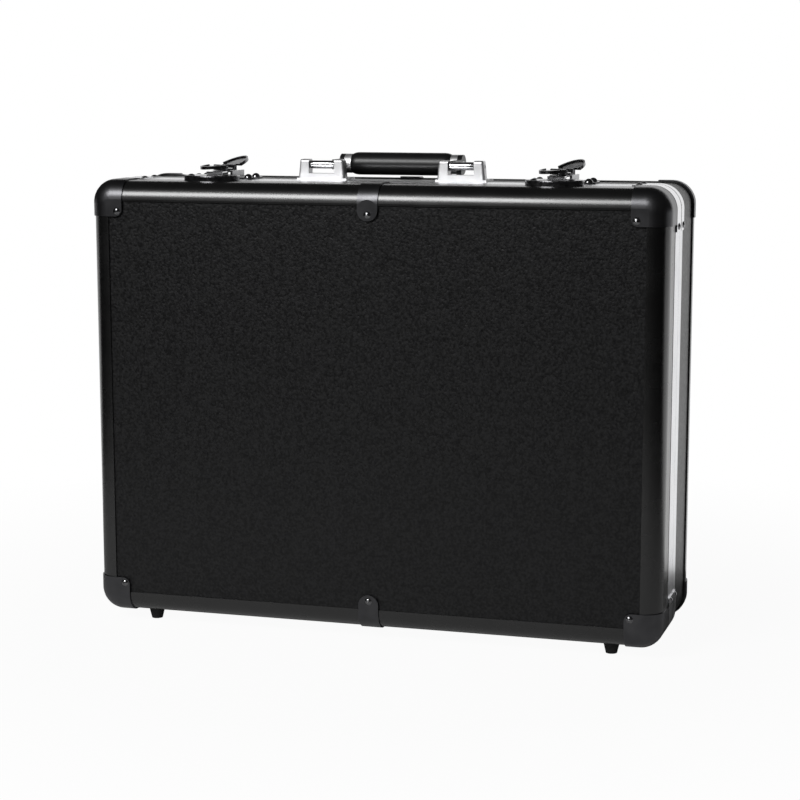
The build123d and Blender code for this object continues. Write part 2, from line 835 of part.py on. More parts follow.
def wing(side, toward, angle):
    """One wing of a latch: a rounded flap with a rim, on a knuckle, folded up by an angle from flat."""
    reach = wing_reach - wing_axis_offset
    neck_end = wing_knuckle_radius + wing_lug_wall
    oval = Ellipse(reach, wing_half_width)
    strip = Rectangle(reach, 2 * wing_half_width, align=(Align.MIN, Align.CENTER))
    flap = oval & Pos(wing_knuckle_radius, 0) * strip
    rim = oval & Pos(neck_end, 0) * strip
    rim -= Ellipse(reach - wing_rim_wall, wing_half_width - wing_rim_wall)
    neck_cut = Rectangle(neck_end, wing_half_width, align=(Align.MIN, Align.MIN))
    flap -= Pos(0, wing_neck_half_width) * neck_cut
    flap -= Pos(0, -wing_neck_half_width - wing_half_width) * neck_cut
    flap += Rectangle(neck_end, 2 * wing_neck_half_width, align=(Align.MIN, Align.CENTER))
    body = Pos(0, 0, -wing_wall / 2) * extrude(flap, amount=wing_wall)
    body += Pos(0, 0, -wing_wall / 2) * extrude(rim, amount=wing_wall + wing_rim_height)
    knuckle = rod(
        (0, -wing_neck_half_width, 0), (0, 1, 0), wing_knuckle_radius, 2 * wing_neck_half_width
    )
    bore = rod(
        (0, -wing_half_width, 0), (0, 1, 0), wing_pin_radius + rotor_running_clearance, 2 * wing_half_width
    )
    body = body + knuckle - bore
    body = Rotation(0, -angle, 0) * body
    if toward < 0:
        body = mirror(body, about=Plane.YZ)
    return turned_with_wings(side, Pos(toward * wing_axis_offset, 0, wing_axis_z()) * body)


def hook(side):
    """The hook of a latch, let go: a plate under the rotor with a lip that hangs over the strike."""
    x = side * latch_x
    z = hook_rest_z()
    lip_back = lid_edge_y - strike_slot_setback + strike_slot_length / 2 - hook_slot_gap
    lip_back -= hook_travel_back
    tail = rotor_y() + hook_tail
    half = hook_width / 2
    plate = block(x - half, x + half, lip_back - hook_lip_wall, tail, z, z + hook_wall)
    plate += block(x - half, x + half, lip_back - hook_lip_wall, lip_back, z - hook_lip_reach, z)
    slot_half = rotor_stem_radius + hook_clearance
    plate -= block(
        x - slot_half,
        x + slot_half,
        rotor_y() - slot_half - hook_travel_back,
        rotor_y() + slot_half,
        z - cut_margin,
        z + hook_wall + cut_margin,
    )
    pin_x, pin_y = drive_point(side)
    room = drive_pin_radius + drive_pin_play
    return plate - block(
        x,
        x + drive_radius() + room,
        pin_y - room,
        pin_y + room,
        z - cut_margin,
        z + hook_wall + cut_margin,
    )


def bracket(side):
    """A handle bracket: a sill with two posts and a window between them, on a riveted flange."""
    x = side * bracket_x
    y = base_edge_y + bracket_setback
    half = bracket_width / 2
    side_view = Polyline(
        (-half, 0),
        (half, 0),
        (half - bracket_taper, bracket_height),
        (-half + bracket_taper, bracket_height),
        close=True,
    )
    plane = Plane(origin=(x, y + bracket_depth, case_top), x_dir=(1, 0, 0), z_dir=(0, -1, 0))
    body = extrude(plane * make_face(side_view), amount=bracket_depth)
    tops = body.edges().filter_by(Axis.Y).group_by(Axis.Z)[-1]
    body = fillet(tops, bracket_side_round)
    window = bracket_window / 2
    body -= block(
        x - window,
        x + window,
        y - cut_margin,
        y + bracket_depth + cut_margin,
        case_top + bracket_sill_height,
        case_top + bracket_height + cut_margin,
    )
    edges = body.edges().filter_by(Axis.X).group_by(Axis.Z)[-1]
    body = fillet(edges, bracket_top_round)
    flange = block(
        x - half - bracket_flange_side, x + half + bracket_flange_side,
        y, y + bracket_flange_depth, case_top, case_top + bracket_flange_wall,
    )
    piece = body + flange
    axis_z = case_top + handle_axis_height
    piece -= rod(
        (x - half, handle_axis_y(), axis_z), (1, 0, 0), handle_pin_radius + skin_gap / 2, bracket_width
    )
    return drilled(piece, bracket_rivet_points(side), (0, 0, 1), rivet_radius + rivet_clearance)


def bracket_rivets():
    """The rivets of both brackets."""
    grip = bracket_flange_wall + inner_face
    return [rivet(p, (0, 0, 1), grip) for side in (-1, 1) for p in bracket_rivet_points(side)]


def handle_axis_y():
    """Where the handle turns in its brackets."""
    return base_edge_y + bracket_setback + bracket_depth / 2


def handle_pins():
    """The two pins that the handle turns on."""
    length = bracket_width - 2 * bracket_taper
    axis_z = case_top + handle_axis_height
    pieces = []
    for side in (-1, 1):
        start = (side * bracket_x - length / 2, handle_axis_y(), axis_z)
        pieces.append(rod(start, (1, 0, 0), handle_pin_radius, length))
    return pieces


def arm(side):
    """The arm at one end of the handle: a barrel on the pin, a link, and a heel that rests on the case."""
    axis_y = handle_axis_y()
    axis_z = case_top + handle_axis_height
    grip_y = axis_y + grip_setback
    half = bracket_window / 2 - barrel_gap
    x = side * bracket_x
    barrel = rod((x - half, axis_y, axis_z), (1, 0, 0), barrel_radius, 2 * half)
    inner = x - side * half
    outer = x - side * (half - arm_wall)
    link = block(inner, outer, axis_y, grip_y, axis_z - arm_width / 2, axis_z + arm_width / 2)
    link = link - block(
        inner,
        outer,
        axis_y - cut_margin,
        axis_y + barrel_radius,
        axis_z - arm_width,
        axis_z - barrel_radius,
    )
    link = link - block(
        inner,
        outer,
        axis_y - cut_margin,
        axis_y + barrel_radius,
        axis_z + barrel_radius,
        axis_z + arm_width,
    )
    end = rod((min(inner, outer), grip_y, axis_z), (1, 0, 0), ferrule_radius, arm_wall)
    heel = block(
        inner, outer, grip_y - arm_width, grip_y, case_top - edge_wall + heel_gap, axis_z
    )
    piece = barrel + link + end + heel
    piece -= rod(
        (x - bracket_width, axis_y, axis_z), (1, 0, 0), handle_pin_radius + handle_running_clearance,
        2 * bracket_width,
    )
    return piece - rod(
        (x - bracket_width, grip_y, axis_z), (1, 0, 0), handle_core_radius + skin_gap / 2, 2 * bracket_width
    )


def grip_ends():
    """How far from the middle the inner faces of the arms are."""
    return bracket_x - bracket_window / 2 + barrel_gap


def handle_core():
    """The steel rod through the grip and the arms."""
    reach = grip_ends() + arm_wall
    start = (-reach, handle_axis_y() + grip_setback, case_top + handle_axis_height)
    return rod(start, (1, 0, 0), handle_core_radius, 2 * reach)


def ferrules():
    """The bright ring at each end of the grip."""
    pieces = []
    y = handle_axis_y() + grip_setback
    z = case_top + handle_axis_height
    for side in (-1, 1):
        x_from = side * grip_length / 2
        x_to = side * grip_ends()
        piece = rod((min(x_from, x_to), y, z), (1, 0, 0), ferrule_radius, abs(x_to - x_from))
        bore = handle_core_radius + skin_gap / 2
        pieces.append(piece - rod((-case_width, y, z), (1, 0, 0), bore, 2 * case_width))
    return pieces


def grip():
    """The padded grip: a round body that narrows towards both ends."""
    y = handle_axis_y() + grip_setback
    z = case_top + handle_axis_height
    half = grip_length / 2
    shoulder = half - grip_end_length
    bore = handle_core_radius + skin_gap / 2
    profile = make_face(
        [
            Edge.make_line((-half, bore), (-half, grip_end_radius)),
            Edge.make_spline(
                [(-half, grip_end_radius), (-shoulder, grip_radius)], tangents=[(1, 1), (1, 0)]
            ),
            Edge.make_line((-shoulder, grip_radius), (shoulder, grip_radius)),
            Edge.make_spline(
                [(shoulder, grip_radius), (half, grip_end_radius)], tangents=[(1, 0), (1, -1)]
            ),
            Edge.make_line((half, grip_end_radius), (half, bore)),
            Edge.make_line((half, bore), (-half, bore)),
        ]
    )
    return Pos(0, y, z) * revolve(profile, axis=Axis.X)


def write(name, shapes):
    """One file for one named sub-part, of one solid or of several alike."""
    solids = []
    for shape in shapes if isinstance(shapes, list) else [shapes]:
        solids += shape.solids()
    whole = solids[0] if len(solids) == 1 else Compound(children=solids)
    whole.label = name
    export_step(whole, f"parts/{name}.step")


def write_shell(shell):
    """Every piece that the lid and the base both have."""
    write(f"{shell}_panel", panel(shell))
    write(f"{shell}_side_wall", side_wall(shell))
    left = edging_half(shell)
    write(f"{shell}_edging_left", left)
    write(f"{shell}_edging_right", turned_right(left))
    clip = edging_clip(shell)
    write(f"{shell}_edging_clips", [clip, turned_down(clip)])
    write(f"{shell}_corners", four_corners(corner_piece(shell)))
    write(f"{shell}_lip", lip(shell))
    write(f"{shell}_lip_caps", lip_caps(shell))
    write(f"{shell}_rivets", face_rivets(shell))
    write(f"{shell}_foam_pad", foam_pad_piece(shell))
    write(f"{shell}_foam_blocks", foam_blocks(shell))
    write(f"{shell}_feet", feet(shell))
    write(f"{shell}_foot_screws", foot_screws(shell))
    write(f"{shell}_hinge_leaves", hinge_leaves(shell))
    write(f"{shell}_hinge_rivets", hinge_rivets(shell))


def write_latch(hand, side):
    """Every piece of one latch."""
    write(f"{hand}_strike", strike(side))
    write(f"{hand}_latch_plate", latch_plate(side))
    write(f"{hand}_latch_rotor", rotor(side))
    write(f"{hand}_latch_wing_pins", wing_pins(side))
    write(f"{hand}_latch_hook", hook(side))
    write(f"{hand}_latch_low_wing", wing(side, -1, low_wing_angle))
    write(f"{hand}_latch_high_wing", wing(side, 1, high_wing_angle))


def write_handle():
    """Every piece of the handle."""
    write("left_handle_bracket", bracket(-1))
    write("right_handle_bracket", bracket(1))
    write("handle_bracket_rivets", bracket_rivets())
    write("handle_pins", handle_pins())
    write("left_handle_arm", arm(-1))
    write("right_handle_arm", arm(1))
    write("handle_core", handle_core())
    write("handle_ferrules", ferrules())
    write("handle_grip", grip())


os.makedirs("parts", exist_ok=True)
write_shell("lid")
write_shell("base")
write("hinge_pins", hinge_pins())
write_latch("left", -1)
write_latch("right", 1)
write("strike_rivets", strike_rivets())
write("latch_rivets", latch_rivets())
write_handle()
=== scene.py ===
"""Looks of the mixer case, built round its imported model. Metres. X across, Y to the rear, Z up."""
import json
from math import cos, pi, radians

import bmesh
import bpy
from mathutils import Matrix, Vector, noise


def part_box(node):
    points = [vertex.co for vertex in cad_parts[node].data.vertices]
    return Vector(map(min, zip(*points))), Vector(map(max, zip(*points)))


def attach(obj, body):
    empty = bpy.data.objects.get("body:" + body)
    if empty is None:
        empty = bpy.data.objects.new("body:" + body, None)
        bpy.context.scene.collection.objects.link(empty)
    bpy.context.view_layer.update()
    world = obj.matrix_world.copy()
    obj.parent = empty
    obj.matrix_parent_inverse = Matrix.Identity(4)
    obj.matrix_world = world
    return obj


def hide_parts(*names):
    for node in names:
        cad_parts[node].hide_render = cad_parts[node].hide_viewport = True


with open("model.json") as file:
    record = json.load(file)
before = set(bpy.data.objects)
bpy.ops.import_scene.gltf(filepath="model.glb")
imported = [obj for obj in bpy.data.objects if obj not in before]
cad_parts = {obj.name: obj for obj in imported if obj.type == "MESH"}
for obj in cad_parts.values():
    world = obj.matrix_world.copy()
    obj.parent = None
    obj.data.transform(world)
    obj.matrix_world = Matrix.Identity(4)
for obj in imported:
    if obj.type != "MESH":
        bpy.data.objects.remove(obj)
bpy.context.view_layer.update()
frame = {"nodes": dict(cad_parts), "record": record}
nodes = frame["nodes"]
MM = 0.001
X, Y, Z = 0, 1, 2


# ---------------------------------------------------------------- camera

IMAGE = 800
SENSOR = 36.0
FOCAL_PIXELS = 2095.8
CENTRE_PIXEL = (403.0, 428.1)
CAMERA_PLACE = (0.50147, -1.65771, 0.45573)
CAMERA_DOWN = 9.504
CAMERA_TURN = 16.563
CAMERA_REACH = 50


def make_camera():
    """The camera fitted to the edges of the case: to the right of its middle, a little above its handle."""
    lens = bpy.data.cameras.new("camera")
    lens.sensor_width = SENSOR
    lens.lens = FOCAL_PIXELS / IMAGE * SENSOR
    lens.shift_x = (IMAGE / 2 - CENTRE_PIXEL[0]) / IMAGE
    lens.shift_y = (CENTRE_PIXEL[1] - IMAGE / 2) / IMAGE
    lens.clip_end = CAMERA_REACH
    camera = bpy.data.objects.new("camera", lens)
    camera.location = CAMERA_PLACE
    camera.rotation_euler = (radians(90 - CAMERA_DOWN), 0, radians(CAMERA_TURN))
    bpy.context.scene.collection.objects.link(camera)
    bpy.context.scene.camera = camera


make_camera()


# ---------------------------------------------------------------- materials

# The mix node's colour sockets: its two inputs and its output.
FIRST, SECOND, MIXED = 6, 7, 2
# Noise lies mostly between these values, so a tone or a gloss is spread over them.
SPREAD = {"From Min": 0.3, "From Max": 0.7}
NARROW_SPREAD = {"From Min": 0.35, "From Max": 0.65}
WIDE_SPREAD = {"From Min": 0.25, "From Max": 0.75}


def hex_colour(code):
    """A linear colour with alpha from an sRGB hex value."""
    channels = [int(code[i:i + 2], 16) / 255 for i in (0, 2, 4)]
    linear = [c / 12.92 if c <= 0.04045 else ((c + 0.055) / 1.055) ** 2.4 for c in channels]
    return (*linear, 1.0)


def add(tree, kind, settings=None, links=None):
    """Adds a node. settings go to its properties or sockets. links maps a socket to another node's output,
    or to the node itself for its first output."""
    node = tree.nodes.new(kind)
    for key, value in (settings or {}).items():
        if isinstance(key, str) and hasattr(node, key):
            setattr(node, key, value)
        else:
            node.inputs[key].default_value = value
    for key, source in (links or {}).items():
        output = source.outputs[0] if isinstance(source, bpy.types.Node) else source
        tree.links.new(output, node.inputs[key])
    return node


def new_material(name):
    """An empty material, its node tree and the object's own coordinates."""
    material = bpy.data.materials.new(name)
    material.use_nodes = True
    tree = material.node_tree
    tree.nodes.clear()
    return material, tree, add(tree, "ShaderNodeTexCoord").outputs["Object"]


def pebbled_laminate():
    """Black phenolic laminate pressed with a pebble grain of about 2 mm: painted shade in the grain's
    hollows, a soft glint.
    """
    material, tree, place = new_material("pebbled_black_laminate")
    grain = add(tree, "ShaderNodeTexNoise", {"Scale": 1 / (2 * MM), "Detail": 2}, {"Vector": place})
    # The colour follows the grain's height: painted shade, darker in the hollows of the pebbles and lighter
    # on their tops.
    tone = add(tree, "ShaderNodeMapRange", NARROW_SPREAD, {"Value": grain})
    colour = add(
        tree, "ShaderNodeMix",
        {"data_type": "RGBA", FIRST: hex_colour("050506"), SECOND: hex_colour("1c1c1d")}, {0: tone},
    )
    rough = add(tree, "ShaderNodeMapRange", {**SPREAD, "To Min": 0.34, "To Max": 0.44}, {"Value": grain})
    relief = add(tree, "ShaderNodeBump", {"Strength": 0.7, "Distance": 0.45 * MM}, {"Height": grain})
    shader = add(
        tree, "ShaderNodeBsdfPrincipled", {"Specular IOR Level": 0.38},
        {"Base Color": colour.outputs[MIXED], "Roughness": rough, "Normal": relief},
    )
    add(tree, "ShaderNodeOutputMaterial", links={"Surface": shader})
    return material


def satin_anodised():
    """Aluminium extrusion anodised satin black: deep black with a broad soft highlight along its round."""
    material, tree, place = new_material("satin_black_anodised_aluminium")
    mottle = add(tree, "ShaderNodeTexNoise", {"Scale": 1 / (0.5 * MM), "Detail": 2}, {"Vector": place})
    drift = add(tree, "ShaderNodeTexNoise", {"Scale": 1 / (25 * MM), "Detail": 3}, {"Vector": place})
    tone = add(tree, "ShaderNodeMapRange", SPREAD, {"Value": drift})
    colour = add(
        tree, "ShaderNodeMix",
        {"data_type": "RGBA", FIRST: hex_colour("080808"), SECOND: hex_colour("0e0e0e")}, {0: tone},
    )
    gloss = {**WIDE_SPREAD, "To Min": 0.25, "To Max": 0.29}
    rough = add(tree, "ShaderNodeMapRange", gloss, {"Value": drift})
    relief = add(tree, "ShaderNodeBump", {"Strength": 0.25, "Distance": 0.02 * MM}, {"Height": mottle})
    shader = add(
        tree, "ShaderNodeBsdfPrincipled", {"Specular IOR Level": 1.0},
        {"Base Color": colour.outputs[MIXED], "Roughness": rough, "Normal": relief},
    )
    add(tree, "ShaderNodeOutputMaterial", links={"Surface": shader})
    return material


def black_pressed_steel():
    """Pressed steel with a satin black plating: slightly wavy from the press, with a broad soft shine."""
    material, tree, place = new_material("satin_black_pressed_steel")
    peel = add(tree, "ShaderNodeTexNoise", {"Scale": 1 / (0.8 * MM), "Detail": 2}, {"Vector": place})
    press = add(tree, "ShaderNodeTexNoise", {"Scale": 1 / (14 * MM), "Detail": 1}, {"Vector": place})
    tone = add(tree, "ShaderNodeMapRange", SPREAD, {"Value": press})
    colour = add(
        tree, "ShaderNodeMix",
        {"data_type": "RGBA", FIRST: hex_colour("545456"), SECOND: hex_colour("606062")}, {0: tone},
    )
    rough = add(tree, "ShaderNodeMapRange", {**SPREAD, "To Min": 0.33, "To Max": 0.38}, {"Value": peel})
    waves = add(tree, "ShaderNodeBump", {"Strength": 0.2, "Distance": 0.25 * MM}, {"Height": press})
    relief = add(
        tree, "ShaderNodeBump", {"Strength": 0.3, "Distance": 0.03 * MM}, {"Height": peel, "Normal": waves}
    )
    shader = add(
        tree, "ShaderNodeBsdfPrincipled", {"Metallic": 1.0},
        {"Base Color": colour.outputs[MIXED], "Roughness": rough, "Normal": relief},
    )
    add(tree, "ShaderNodeOutputMaterial", links={"Surface": shader})
    return material


def natural_anodised():
    """Natural anodised aluminium: pale, silky, with fine lines along the extrusion."""
    material, tree, place = new_material("natural_anodised_aluminium")
    drawn = add(tree, "ShaderNodeMapping", {"Scale": (0.02, 1, 0.02)}, {"Vector": place})
    lines = add(tree, "ShaderNodeTexNoise", {"Scale": 1 / (0.35 * MM), "Detail": 2}, {"Vector": drawn})
    drift = add(tree, "ShaderNodeTexNoise", {"Scale": 1 / (30 * MM), "Detail": 2}, {"Vector": place})
    tone = add(tree, "ShaderNodeMapRange", SPREAD, {"Value": drift})
    colour = add(
        tree, "ShaderNodeMix",
        {"data_type": "RGBA", FIRST: hex_colour("dfe0e2"), SECOND: hex_colour("ececee")}, {0: tone},
    )
    rough = add(tree, "ShaderNodeMapRange", {**SPREAD, "To Min": 0.24, "To Max": 0.36}, {"Value": lines})
    relief = add(tree, "ShaderNodeBump", {"Strength": 0.3, "Distance": 0.02 * MM}, {"Height": lines})
    shader = add(
        tree, "ShaderNodeBsdfPrincipled", {"Metallic": 1.0},
        {"Base Color": colour.outputs[MIXED], "Roughness": rough, "Normal": relief},
    )
    add(tree, "ShaderNodeOutputMaterial", links={"Surface": shader})
    return material


def bright_plate(name, low, high, rough_low, rough_high, spots_mm=8.0):
    """A plated metal: its tone drifts a little, and handling has left faint smears in the gloss."""
    material, tree, place = new_material(name)
    drift = add(tree, "ShaderNodeTexNoise", {"Scale": 1 / (spots_mm * MM), "Detail": 3}, {"Vector": place})
    grain = add(tree, "ShaderNodeTexNoise", {"Scale": 1 / (0.5 * MM), "Detail": 2}, {"Vector": place})
    tone = add(tree, "ShaderNodeMapRange", SPREAD, {"Value": drift})
    colour = add(
        tree, "ShaderNodeMix",
        {"data_type": "RGBA", FIRST: hex_colour(low), SECOND: hex_colour(high)}, {0: tone},
    )
    gloss = {**SPREAD, "To Min": rough_low, "To Max": rough_high}
    rough = add(tree, "ShaderNodeMapRange", gloss, {"Value": drift})
    relief = add(tree, "ShaderNodeBump", {"Strength": 0.3, "Distance": 0.01 * MM}, {"Height": grain})
    shader = add(
        tree, "ShaderNodeBsdfPrincipled", {"Metallic": 1.0},
        {"Base Color": colour.outputs[MIXED], "Roughness": rough, "Normal": relief},
    )
    add(tree, "ShaderNodeOutputMaterial", links={"Surface": shader})
    return material


def black_moulding(name, low, high, rough_low, rough_high, grain_mm, depth_mm):
    """A black moulded or coated surface with a fine even grain."""
    material, tree, place = new_material(name)
    grain = add(tree, "ShaderNodeTexNoise", {"Scale": 1 / (grain_mm * MM), "Detail": 3}, {"Vector": place})
    drift = add(tree, "ShaderNodeTexNoise", {"Scale": 1 / (12 * MM), "Detail": 2}, {"Vector": place})
    tone = add(tree, "ShaderNodeMapRange", SPREAD, {"Value": drift})
    colour = add(
        tree, "ShaderNodeMix",
        {"data_type": "RGBA", FIRST: hex_colour(low), SECOND: hex_colour(high)}, {0: tone},
    )
    gloss = {**SPREAD, "To Min": rough_low, "To Max": rough_high}
    rough = add(tree, "ShaderNodeMapRange", gloss, {"Value": grain})
    relief = add(tree, "ShaderNodeBump", {"Strength": 0.6, "Distance": depth_mm * MM}, {"Height": grain})
    shader = add(
        tree, "ShaderNodeBsdfPrincipled",
        links={"Base Color": colour.outputs[MIXED], "Roughness": rough, "Normal": relief},
    )
    add(tree, "ShaderNodeOutputMaterial", links={"Surface": shader})
    return material


def open_cell_foam():
    """Charcoal polyurethane foam: open cells, drawn 1.6 mm wide so that they show, with painted shade in
    their hollows.
    """
    material, tree, place = new_material("charcoal_open_cell_foam")
    cells = add(tree, "ShaderNodeTexVoronoi", {"Scale": 1 / (1.6 * MM)}, {"Vector": place})
    fine = add(tree, "ShaderNodeTexNoise", {"Scale": 1 / (0.9 * MM), "Detail": 4}, {"Vector": place})
    both = add(tree, "ShaderNodeMath", {"operation": "MULTIPLY"}, {0: cells, 1: fine})
    # The colour follows the cells' depth: painted shade, darker in the hollows of the cells, over the
    # foam's own charcoal.
    tone = add(tree, "ShaderNodeMapRange", {"From Min": 0.05, "From Max": 0.45}, {"Value": both})
    colour = add(
        tree, "ShaderNodeMix",
        {"data_type": "RGBA", FIRST: hex_colour("0e0e0f"), SECOND: hex_colour("2b2b2d")}, {0: tone},
    )
    relief = add(tree, "ShaderNodeBump", {"Strength": 0.9, "Distance": 0.9 * MM}, {"Height": both})
    shader = add(
        tree, "ShaderNodeBsdfPrincipled", {"Roughness": 0.95, "Specular IOR Level": 0.2},
        {"Base Color": colour.outputs[MIXED], "Normal": relief},
    )
    add(tree, "ShaderNodeOutputMaterial", links={"Surface": shader})
    return material


finishes = {
    "laminate": pebbled_laminate(),
    "edging": satin_anodised(),
    "black_steel": black_pressed_steel(),
    "bright_lip": natural_anodised(),
    "bright_cap": bright_plate("nickel_plated_steel", "d4d4d6", "e6e6e8", 0.16, 0.28),
    "rivets": bright_plate("dark_nickel_plated_rivet", "6c6c6e", "888889", 0.16, 0.24, 2.0),
    "foam": open_cell_foam(),
    "rubber": black_moulding("moulded_black_rubber", "0a0a0a", "101010", 0.6, 0.75, 0.5, 0.05),
    "screws": bright_plate("zinc_plated_steel", "b4b6b8", "c9cacc", 0.25, 0.4, 3.0),
    "hinge_steel": bright_plate("nickel_plated_hinge_steel", "c6c6c8", "dadadc", 0.18, 0.3),
    "chrome": bright_plate("satin_nickel_plate", "f0f0f1", "fafafb", 0.44, 0.54),
    "arm_black": black_moulding("black_coated_casting", "161617", "1e1e1f", 0.32, 0.42, 0.9, 0.04),
    "grip": black_moulding("smooth_black_leathercloth", "151516", "1b1b1c", 0.3, 0.42, 0.6, 0.04),
    "latch_dark": bright_plate("black_nickel_plate", "6c6c6e", "8e8e90", 0.14, 0.26, 4.0),
    "latch_bright": bright_plate("bright_spring_steel", "cfcfd1", "e2e2e4", 0.12, 0.24),
}


def finish_nodes():
    """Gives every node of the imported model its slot's finish."""
    for part in frame["record"]["subparts"]:
        mesh = nodes[part["node"]].data
        mesh.materials.clear()
        mesh.materials.append(finishes[part["material_slot"]])


finish_nodes()


# ---------------------------------------------------------------- pieces

SAME_POINT = 0.001 * MM


def new_piece(name, shape, finish, body, smooth_angle=35, replaced=()):
    """Makes a piece from a bmesh in place: its finish, the body it rides on and the nodes it replaces."""
    bmesh.ops.remove_doubles(shape, verts=shape.verts, dist=SAME_POINT)
    bmesh.ops.recalc_face_normals(shape, faces=shape.faces)
    mesh = bpy.data.meshes.new(name)
    shape.to_mesh(mesh)
    shape.free()
    mesh.materials.append(finishes[finish])
    mesh.shade_smooth()
    mesh.set_sharp_from_angle(angle=radians(smooth_angle))
    piece = bpy.data.objects.new(name, mesh)
    bpy.context.scene.collection.objects.link(piece)
    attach(piece, body)
    if replaced:
        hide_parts(*replaced)
    return piece


FOAM_GAP = 0.15 * MM
FOAM_BEND = 11 * MM
FOAM_BEND_STEPS = 5
FOAM_ROUND = 3 * MM
FOAM_ROUND_STEPS = 4
FOAM_CUT = 18 * MM
FOAM_CROWN = 1.2 * MM
FOAM_WAVE = 0.35 * MM
FOAM_WAVE_LENGTH = 40 * MM


def lies_at(edge, axis, value):
    """Whether both ends of an edge lie at one value along an axis."""
    return all(abs(vert.co[axis] - value) < FOAM_GAP for vert in edge.verts)


def sliced(shape, low, high, step):
    """Cuts a shape across by even planes, so that its faces can be made uneven."""
    for axis in (X, Y, Z):
        count = round((high[axis] - low[axis]) / step)
        for index in range(1, count):
            place = Vector(low)
            place[axis] = low[axis] + (high[axis] - low[axis]) * index / count
            across = [0, 0, 0]
            across[axis] = 1
            parts = shape.verts[:] + shape.edges[:] + shape.faces[:]
            bmesh.ops.bisect_plane(shape, geom=parts, plane_co=place, plane_no=across)


def foam_block(low, high, out, bent_z):
    """A block of cut foam: its open edge rounded, its open face a little crowned, its sides uneven.
    The two corners at the height bent_z are bent to lie in the corners of the case."""
    low, high = Vector(low), Vector(high)
    middle, half = (low + high) / 2, (high - low) / 2
    block = bmesh.new()
    stretch = Matrix.Diagonal((*(2 * half), 1))
    bmesh.ops.create_cube(block, size=1, matrix=Matrix.Translation(middle) @ stretch)
    if bent_z is not None:
        ends = [edge for edge in block.edges if lies_at(edge, X, low.x) or lies_at(edge, X, high.x)]
        bent = [edge for edge in ends if lies_at(edge, Z, bent_z)]
        bmesh.ops.bevel(
            block, geom=bent, offset=FOAM_BEND, segments=FOAM_BEND_STEPS, profile=0.5,
            affect="EDGES", material=-1,
        )
    rim = [edge for edge in block.edges if lies_at(edge, Y, high.y if out > 0 else low.y)]
    bmesh.ops.bevel(
        block, geom=rim, offset=FOAM_ROUND, segments=FOAM_ROUND_STEPS, profile=0.5,
        affect="EDGES", material=-1,
    )
    sliced(block, low, high, FOAM_CUT)
    for vert in block.verts:
        away = vert.co - middle
        dip = FOAM_WAVE * (1 + noise.noise(vert.co / FOAM_WAVE_LENGTH))
        edge_share = max(abs(away.x) / half.x, abs(away.z) / half.z)
        open_share = max(0, out * away.y / half.y)
        vert.co.x = middle.x + away.x * (1 - dip / half.x)
        vert.co.z = middle.z + away.z * (1 - dip / half.z)
        vert.co.y -= out * FOAM_CROWN * edge_share ** 2 * open_share ** 4
    return block


def foam_lining(shell, out):
    """The four blocks of foam round the mixer's bay in one shell."""
    (left, y_low, bottom), (right, y_high, top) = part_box(f"{shell}_foam_blocks")
    (bay_left, _, bay_bottom), (bay_right, _, bay_top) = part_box(f"{shell}_foam_pad")
    blocks = [
        (left, right, bay_top + FOAM_GAP, top, top),
        (left, right, bottom, bay_bottom - FOAM_GAP, bottom),
        (left, bay_left - FOAM_GAP, bay_bottom, bay_top, None),
        (bay_right + FOAM_GAP, right, bay_bottom, bay_top, None),
    ]
    whole = bmesh.new()
    for x_low, x_high, z_low, z_high, bent_z in blocks:
        block = foam_block((x_low, y_low, z_low), (x_high, y_high, z_high), out, bent_z)
        part = bpy.data.meshes.new("block")
        block.to_mesh(part)
        block.free()
        whole.from_mesh(part)
        bpy.data.meshes.remove(part)
    lining = new_piece(f"{shell}_foam_lining", whole, "foam", shell, 60, [f"{shell}_foam_blocks"])


CRATE_PITCH = 34 * MM
CRATE_STEPS = (82, 54)
CRATE_MIDDLE = 0.64
CRATE_SWING = 0.34


def egg_crate_pad(shell, out):
    """The pad behind the mixer: egg-crate foam, in peaks and hollows about 34 mm apart."""
    low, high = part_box(f"{shell}_foam_pad")
    y_back, y_open = (low.y, high.y) if out > 0 else (high.y, low.y)
    place = Matrix.Translation(((low.x + high.x) / 2, y_back, (low.z + high.z) / 2))
    size = Matrix.Diagonal((high.x - low.x, high.z - low.z, 1, 1))
    upright = place @ Matrix.Rotation(radians(90), 4, "X") @ size
    shape = bmesh.new()
    bmesh.ops.create_grid(
        shape, x_segments=CRATE_STEPS[0], y_segments=CRATE_STEPS[1], size=0.5, matrix=upright
    )
    raised = bmesh.ops.extrude_face_region(shape, geom=shape.faces[:], use_keep_orig=True)["geom"]
    for vert in (part for part in raised if isinstance(part, bmesh.types.BMVert)):
        swing = cos(2 * pi * vert.co.x / CRATE_PITCH) * cos(2 * pi * vert.co.z / CRATE_PITCH)
        vert.co.y = y_back + (y_open - y_back) * (CRATE_MIDDLE + CRATE_SWING * swing)
    pad = new_piece(f"{shell}_egg_crate_pad", shape, "foam", shell, 70, [f"{shell}_foam_pad"])


for shell, out in (("lid", 1), ("base", -1)):
    foam_lining(shell, out)
    egg_crate_pad(shell, out)


ROLLER_INSIDE = 3.02 * MM
ROLLER_OUTSIDE = 3.35 * MM
ROLLER_END = 0.6 * MM
ROLLER_SOFT = 0.2 * MM
ROLLER_SOFT_STEPS = 3
ROLLER_SIDES = 48


